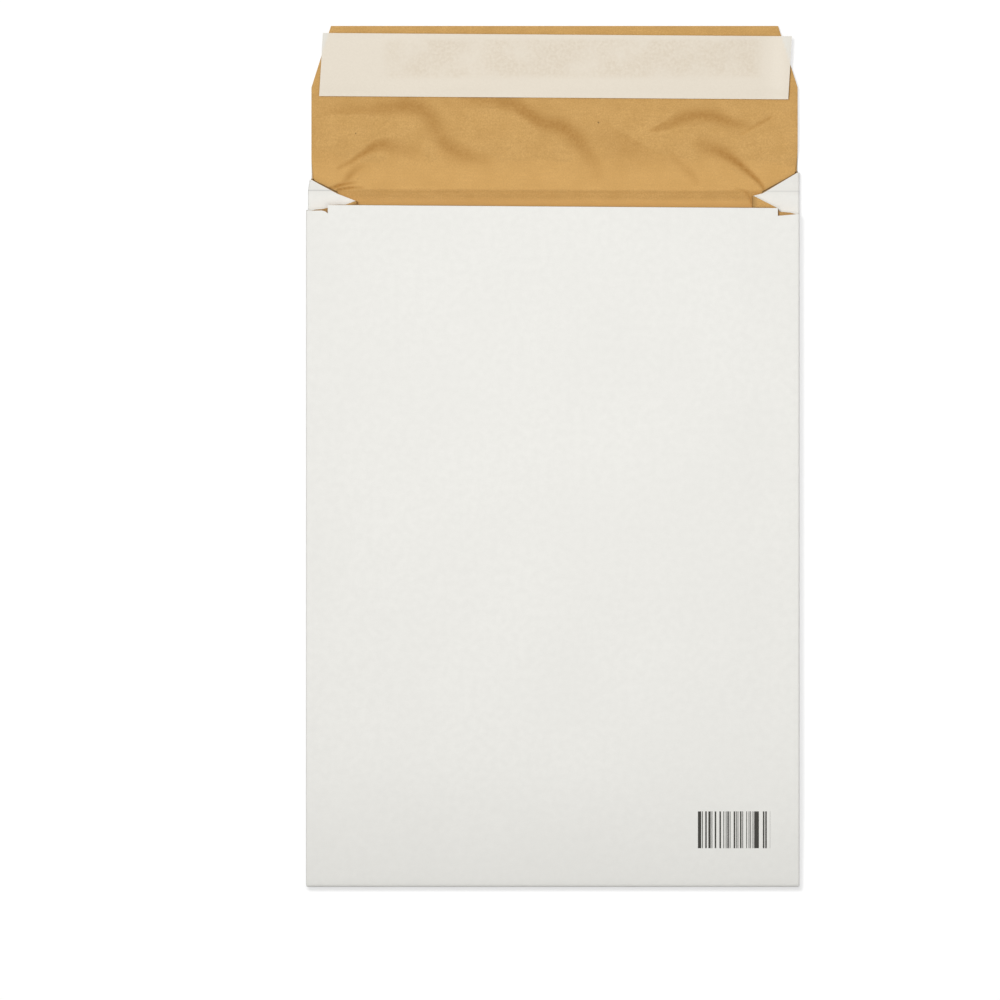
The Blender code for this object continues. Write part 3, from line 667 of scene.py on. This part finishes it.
def brownPaddedKraft():
    # Unbleached kraft over macerated-paper padding: warm brown, matt, with a fibre grain that runs
    # across the web and a few dark specks. Painted shade darkens the creases' hollows, the score, the
    # mouth's band and the cut edges; painted light makes the lips, the kraft above the score and the
    # mouth further in paler.
    made, tree, shader = newMaterial("brownPaddedKraft", 0.82, 1.5)
    place = addNode(tree, "TexCoord").outputs["Object"]
    grain = mottle(tree, place, 0.7, 0.25, 0.75, 4)
    streaks = mottle(tree, place, 1.2, 0.30, 0.70, 2, (0.12, 1, 1))
    clouds = mottle(tree, place, 9, 0.32, 0.68, 3)
    # noise that breaks up the painted crease shade
    shadeBreakup = mottle(tree, place, 1.6, -0.45, 0.85, 3)
    # a speck is 1 mm across, and one cell of 11 mm in ten has one
    cells = addNode(tree, "TexVoronoi", {"feature": "F1"}, {"Vector": place, "Scale": 90})
    near = addNode(tree, "Math", {"operation": "LESS_THAN"}, {0: cells.outputs["Distance"], 1: 0.045})
    chance = addNode(tree, "SeparateColor", inputs={0: cells.outputs["Color"]})
    rare = addNode(tree, "Math", {"operation": "LESS_THAN"}, {0: chance.outputs[0], 1: 0.10})
    # painted light, painted shade and the painted shadow at the cut edges, read from the liner
    pale, crease, cut = (
        addNode(tree, "Attribute", {"attribute_name": name}).outputs["Fac"]
        for name in ("paintedLight", "paintedShade", "paintedCutShadow"))
    tone = tinted(tree, "#D3A660", [
        ((clouds,), "#DEB16B"),
        ((grain, 0.78), "#B6894A"),
        ((streaks, 0.28), "#BA9052"),
        ((near.outputs[0], rare.outputs[0], 0.7), "#5E4524"),
        # painted light: paler lips, kraft above the score and the mouth further in
        ((pale,), "#E2B066"),
        # painted shade in the creases' hollows, the score and the mouth's band
        ((crease, shadeBreakup), "#98630C"),
        # painted shadow along the cut edges, the pleat and the tab
        ((cut,), "#33220D"),
    ])
    tree.links.new(tone, shader.inputs["Base Color"])
    fine = addNode(tree, "Bump", inputs={"Strength": 0.6, "Distance": 0.00008, "Height": grain})
    coarse = addNode(tree, "Bump", inputs={
        "Strength": 0.5, "Distance": 0.00012, "Height": clouds, "Normal": fine.outputs[0]})
    tree.links.new(coarse.outputs[0], shader.inputs["Normal"])
    return made


def siliconeReleasePaper():
    # Thin cream paper with a silicone coat: smooth with a slight sheen. The glue behind it shows
    # through as darker blotches, and where no brown paper lies behind it the strip is whiter.
    made, tree, shader = newMaterial("siliconeReleasePaper", 0.42, 1.45)
    place = addNode(tree, "TexCoord").outputs["Object"]
    x, y, z = addNode(tree, "SeparateXYZ", inputs={0: place}).outputs
    blotches = mottle(tree, place, 16, 0.27, 0.58, 4)
    specks = mottle(tree, place, 1.4, 0.30, 0.66, 3)
    fine = mottle(tree, place, 0.9, 0.25, 0.75, 2)
    glued = (ramp(tree, x, -0.088, -0.080), ramp(tree, x, 0.108, 0.100),
             ramp(tree, y, topY - 0.0278, topY - 0.0240), ramp(tree, y, topY - 0.0055, topY - 0.0083),
             blotches)
    bare = addNode(tree, "Attribute", {"attribute_name": "overhang"}).outputs["Fac"]
    tone = tinted(tree, "#E1D7C6", [
        (glued + (0.34,), "#DED1BD"),
        (glued + (specks, 0.47), "#CBBBA2"),
        ((fine, 0.22), "#D0C5B2"),
        ((bare,), "#DDD9CF"),
    ])
    tree.links.new(tone, shader.inputs["Base Color"])
    bump = addNode(tree, "Bump", inputs={"Strength": 0.4, "Distance": 0.00004, "Height": specks})
    tree.links.new(bump.outputs[0], shader.inputs["Normal"])
    return made


def hotMelt():
    # Hot-melt adhesive, laid on as a warm band: amber, tacky and softly glossy, faintly ribbed
    made, tree, shader = newMaterial("hotMeltAdhesive", 0.30, 1.48)
    place = addNode(tree, "TexCoord").outputs["Object"]
    ribs = mottle(tree, place, 1.6, 0.3, 0.7, 2, (0.15, 1, 1))
    tree.links.new(tinted(tree, "#B98F52", [((ribs,), "#C79E62")]), shader.inputs["Base Color"])
    bump = addNode(tree, "Bump", inputs={"Strength": 0.5, "Distance": 0.00006, "Height": ribs})
    tree.links.new(bump.outputs[0], shader.inputs["Normal"])
    return made


# The two folded sheets. Steps are how many a part of the section or a run of rows has; the flap's
# columns are so far apart up to each limit.

wrapperSteps = dict(
    flap=[(1, 0.0034)], fold=18, gusset=9, pleat=9, back=28,
    body=28, mouth=18, flapRows=22,
)
linerSteps = dict(
    flap=[(0.0915, 0.0018), (0.118, 0.00055), (1, 0.0014)], fold=15, gusset=9, pleat=7, back=20,
    body=14, mouth=40, flapRows=80,
)
# how far the liner shows past the paper: at the slanted cuts, the back panel and the side folds
linerProud = (0.0007, 0.00025, -0.0005)

# Painted shade and light of the liner: the most painted shade that a crease takes and the depth at
# which it does, then share, y from the crease and width of the score's painted line, and shares of
# the mouth's painted band and of the places with painted light
linerShade = dict(
    crease=0.88, creaseFull=0.00072, creasePower=1.1, line=(0.24, -0.0011, 0.0008),
    band=0.20, above=0.30, mouth=0.80, ridge=1.6,
)


def setShade(piece, name, values):
    layer = piece.data.attributes.new(name, "FLOAT", "POINT")
    layer.data.foreach_set("value", np.asarray(values, np.float32))


def makeWrapper():
    piece, _ = bagSheet("paperWrapper", 0.0, bag["paper"], wrapperSteps, bagRelief)
    piece.data.materials.append(bleachedKraft())
    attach(piece, "root")
    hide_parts("outer_wrapper")


def shadeLiner(piece):
    # Painted shade makes the kraft darker in the creases' hollows, as (depth / full depth)^1.1, and in
    # the score, and a band of the mouth below the score darker. Painted light makes it paler above the
    # score, further into the mouth, and on the lips.
    count = len(piece.data.vertices)
    where = np.empty(count * 3)
    piece.data.vertices.foreach_get("co", where)
    x, y, z = where.reshape(-1, 3).T
    here = np.where((y > creaseY - 0.012) & (z < foldRadius))[0]
    x, y = x[here], y[here]
    above = y - creaseY + bag["scoreSkew"] * x
    paintedDarkShare = np.clip(creaseDepth(x, y, "routes") / linerShade["creaseFull"], 0, 1)
    share, place, width = linerShade["line"]
    line = share * np.exp(-((above - place) / width) ** 2)
    band = linerShade["band"] * smoothStep(-0.0004, -0.0012, above) * smoothStep(-0.0062, -0.0028, above)
    dark = np.zeros(count)
    dark[here] = np.max([paintedDarkShare ** linerShade["creasePower"] * linerShade["crease"], line, band], axis=0)
    setShade(piece, "paintedShade", dark)

    flapSide = linerShade["above"] * smoothStep(0.026, 0.006, above) * smoothStep(-0.0002, 0.0004, above)
    mouthSide = linerShade["mouth"] * smoothStep(-0.0028, -0.0078, above)
    ridge = linerShade["ridge"] * creaseDepth(x, y, "ridges") * 1000
    pale = np.zeros(count)
    pale[here] = np.maximum(np.where(above > 0, flapSide, mouthSide), ridge)
    setShade(piece, "paintedLight", pale)


def makeLiner():
    outside = bag["paper"] + bag["glueGap"]
    piece, paintedCutShadow = bagSheet("paddedLiner", outside, wallThick, linerSteps, linerRelief, linerProud)
    shadeLiner(piece)
    setShade(piece, "paintedCutShadow", paintedCutShadow)
    piece.data.materials.append(brownPaddedKraft())
    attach(piece, "root")
    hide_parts("padded_liner")


makeWrapper()
print("paper wrapper made")
makeLiner()
print("padded liner made")


# Closure: the glue on the flap and the strip over it

strip = dict(
    length=0.2377, width=0.0320, thick=0.00015, x=0.0014,
    drop=0.0204,                                          # flap's top edge to the strip's centre
    turn=-0.40, slant=3.0,                                # degrees: the whole strip, and its end cuts
    wave=0.00012, waveLengths=(0.061, 0.045), waveSkew=20, flatRim=0.006,
    tabLift=0.0007, tabFrom=0.455,                        # the free right end stands up a little
    columns=240, rows=33,
)


def makeStrip():
    # (s, t) on a rectangle, slanted by t tan(slant), turned, and lifted by one soft wave across times
    # one along, which dies out at the rim, by the tab's square rise and by the flap's curl
    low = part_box("release_strip")[0].z
    s, t = np.meshgrid(np.linspace(-0.5, 0.5, strip["columns"]) * strip["length"],
                       np.linspace(-0.5, 0.5, strip["rows"]) * strip["width"], indexing="ij")
    slanted = s + t * math.tan(math.radians(strip["slant"]))
    cos, sin = math.cos(math.radians(strip["turn"])), math.sin(math.radians(strip["turn"]))
    x = strip["x"] + slanted * cos - t * sin
    y = topY - strip["drop"] + slanted * sin + t * cos
    lengthX, lengthY = strip["waveLengths"]
    wave = 1 + np.sin(2 * np.pi * x / lengthX) * np.cos(2 * np.pi * y / lengthY + x * strip["waveSkew"])
    lift = strip["wave"] * wave * smoothStep(0, strip["flatRim"], 0.5 * strip["width"] - np.abs(t))
    tab = np.clip((s / strip["length"] - strip["tabFrom"]) / (0.5 - strip["tabFrom"]), 0, 1) ** 2
    lift = lift + strip["tabLift"] * tab + edgeCurl(x, y)
    index = np.arange(s.size).reshape(s.shape)
    lower = np.stack([x, y, low + lift], axis=-1).reshape(-1, 3)
    upper = lower + (0, 0, strip["thick"])
    piece = closedShell("peelStrip", upper, lower, gridQuads(index))
    bare = 1 - smoothStep(-0.0006, 0.0004, overFlap(x, y)).ravel()
    setShade(piece, "overhang", np.tile(bare, 2))
    piece.data.materials.append(siliconeReleasePaper())
    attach(piece, "root")
    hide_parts("release_strip")


def dressGlue():
    node = bpy.data.objects["adhesive_band"]
    for slot in node.material_slots:
        slot.material = hotMelt()


makeStrip()
dressGlue()
print("closure made")


# Stage: floor, lamps and camera. Places are in metres, lamps as (place, target, size, share).

studio = dict(
    floorHalf=4.0, floorDrop=0.0003, floorGlow=0.58, floorShown=0.53, floorBounce=0.75, fill=0.28,
    keyLamp=((-0.80, 1.00, 3.2), (0, 0, 0), 0.75, 0.40),
    topLamp=((0.03, 0.05, 0.70), (0.03, 0.05, 0), 0.50, 0.36),
    lens=1000, pictureWidth=0.5065, cameraPlace=(-0.02674, -0.0221),
)


def addLamp(name):
    # An area lamp whose share of the light is 1 where it alone would show a colour as written:
    # watts = pi^2 d^2 share / cos(tilt)
    place, target, size, share = studio[name]
    data = bpy.data.lights.new(name, "AREA")
    data.shape = "SQUARE"
    data.size = size
    way = np.subtract(target, place)
    distance = float(np.linalg.norm(way))
    data.energy = math.pi ** 2 * distance ** 2 * share * distance / abs(way[2])
    lamp = bpy.data.objects.new(name, data)
    lamp.location = place
    heading, tilt = np.arctan2(way[1], way[0]), np.arccos(-way[2] / distance)
    lamp.rotation_euler = (tilt, 0, heading - math.pi / 2)
    bpy.context.scene.collection.objects.link(lamp)


def seenByEye(tree):
    # 1 for camera, glossy and transmission rays
    rays = addNode(tree, "LightPath").outputs
    seen = rays["Is Camera Ray"]
    for kind in ("Is Glossy Ray", "Is Transmission Ray"):
        seen = addNode(tree, "Math", {"operation": "MAXIMUM"}, {0: seen, 1: rays[kind]}).outputs[0]
    return seen


def grey(value):
    return (value, value, value, 1)


def makeFloor():
    # Pale floor: to the eye it is partly white by itself, so only a faint shadow stays
    half, z = studio["floorHalf"], -studio["floorDrop"]
    mesh = bpy.data.meshes.new("floor")
    corners = [(-half, -half, z), (half, -half, z), (half, half, z), (-half, half, z)]
    mesh.from_pydata(corners, [], [(0, 1, 2, 3)])
    floor = bpy.data.objects.new("floor", mesh)
    bpy.context.scene.collection.objects.link(floor)
    made = bpy.data.materials.new("paleFloor")
    made.use_nodes = True
    tree = made.node_tree
    tree.nodes.clear()
    glow = addNode(tree, "Emission", inputs={"Color": grey(1), "Strength": studio["floorGlow"]})
    shown = addNode(tree, "BsdfDiffuse", inputs={"Color": grey(studio["floorShown"])})
    both = addNode(tree, "AddShader", inputs={0: glow.outputs[0], 1: shown.outputs[0]})
    plain = addNode(tree, "BsdfDiffuse", inputs={"Color": grey(studio["floorBounce"])})
    mixed = addNode(tree, "MixShader", inputs={0: seenByEye(tree), 1: plain.outputs[0], 2: both.outputs[0]})
    addNode(tree, "OutputMaterial", inputs={"Surface": mixed.outputs[0]})
    mesh.materials.append(made)


def makeWorld():
    # A soft fill for the object, and plain white to the eye
    world = bpy.data.worlds.new("studio")
    bpy.context.scene.world = world
    world.use_nodes = True
    tree = world.node_tree
    tree.nodes.clear()
    soft = addNode(tree, "Background", inputs={"Color": grey(1), "Strength": studio["fill"]})
    white = addNode(tree, "Background", inputs={"Color": grey(1), "Strength": 1.0})
    mixed = addNode(tree, "MixShader", inputs={0: seenByEye(tree), 1: soft.outputs[0], 2: white.outputs[0]})
    addNode(tree, "OutputWorld", inputs={"Surface": mixed.outputs[0]})


def makeCamera():
    # Straight down through a long lens, so far up that the picture is 506.5 mm wide at the back
    # panel's height: distance = lens / sensor x picture width
    data = bpy.data.cameras.new("camera")
    data.sensor_width = 36
    data.lens = studio["lens"]
    data.clip_end = 50
    camera = bpy.data.objects.new("camera", data)
    distance = data.lens / data.sensor_width * studio["pictureWidth"]
    camera.location = (*studio["cameraPlace"], bagThick + distance)
    bpy.context.scene.collection.objects.link(camera)
    bpy.context.scene.camera = camera


makeFloor()
makeWorld()
addLamp("keyLamp")
addLamp("topLamp")
makeCamera()
bpy.context.scene.view_settings.view_transform = "Standard"
print("stage made")
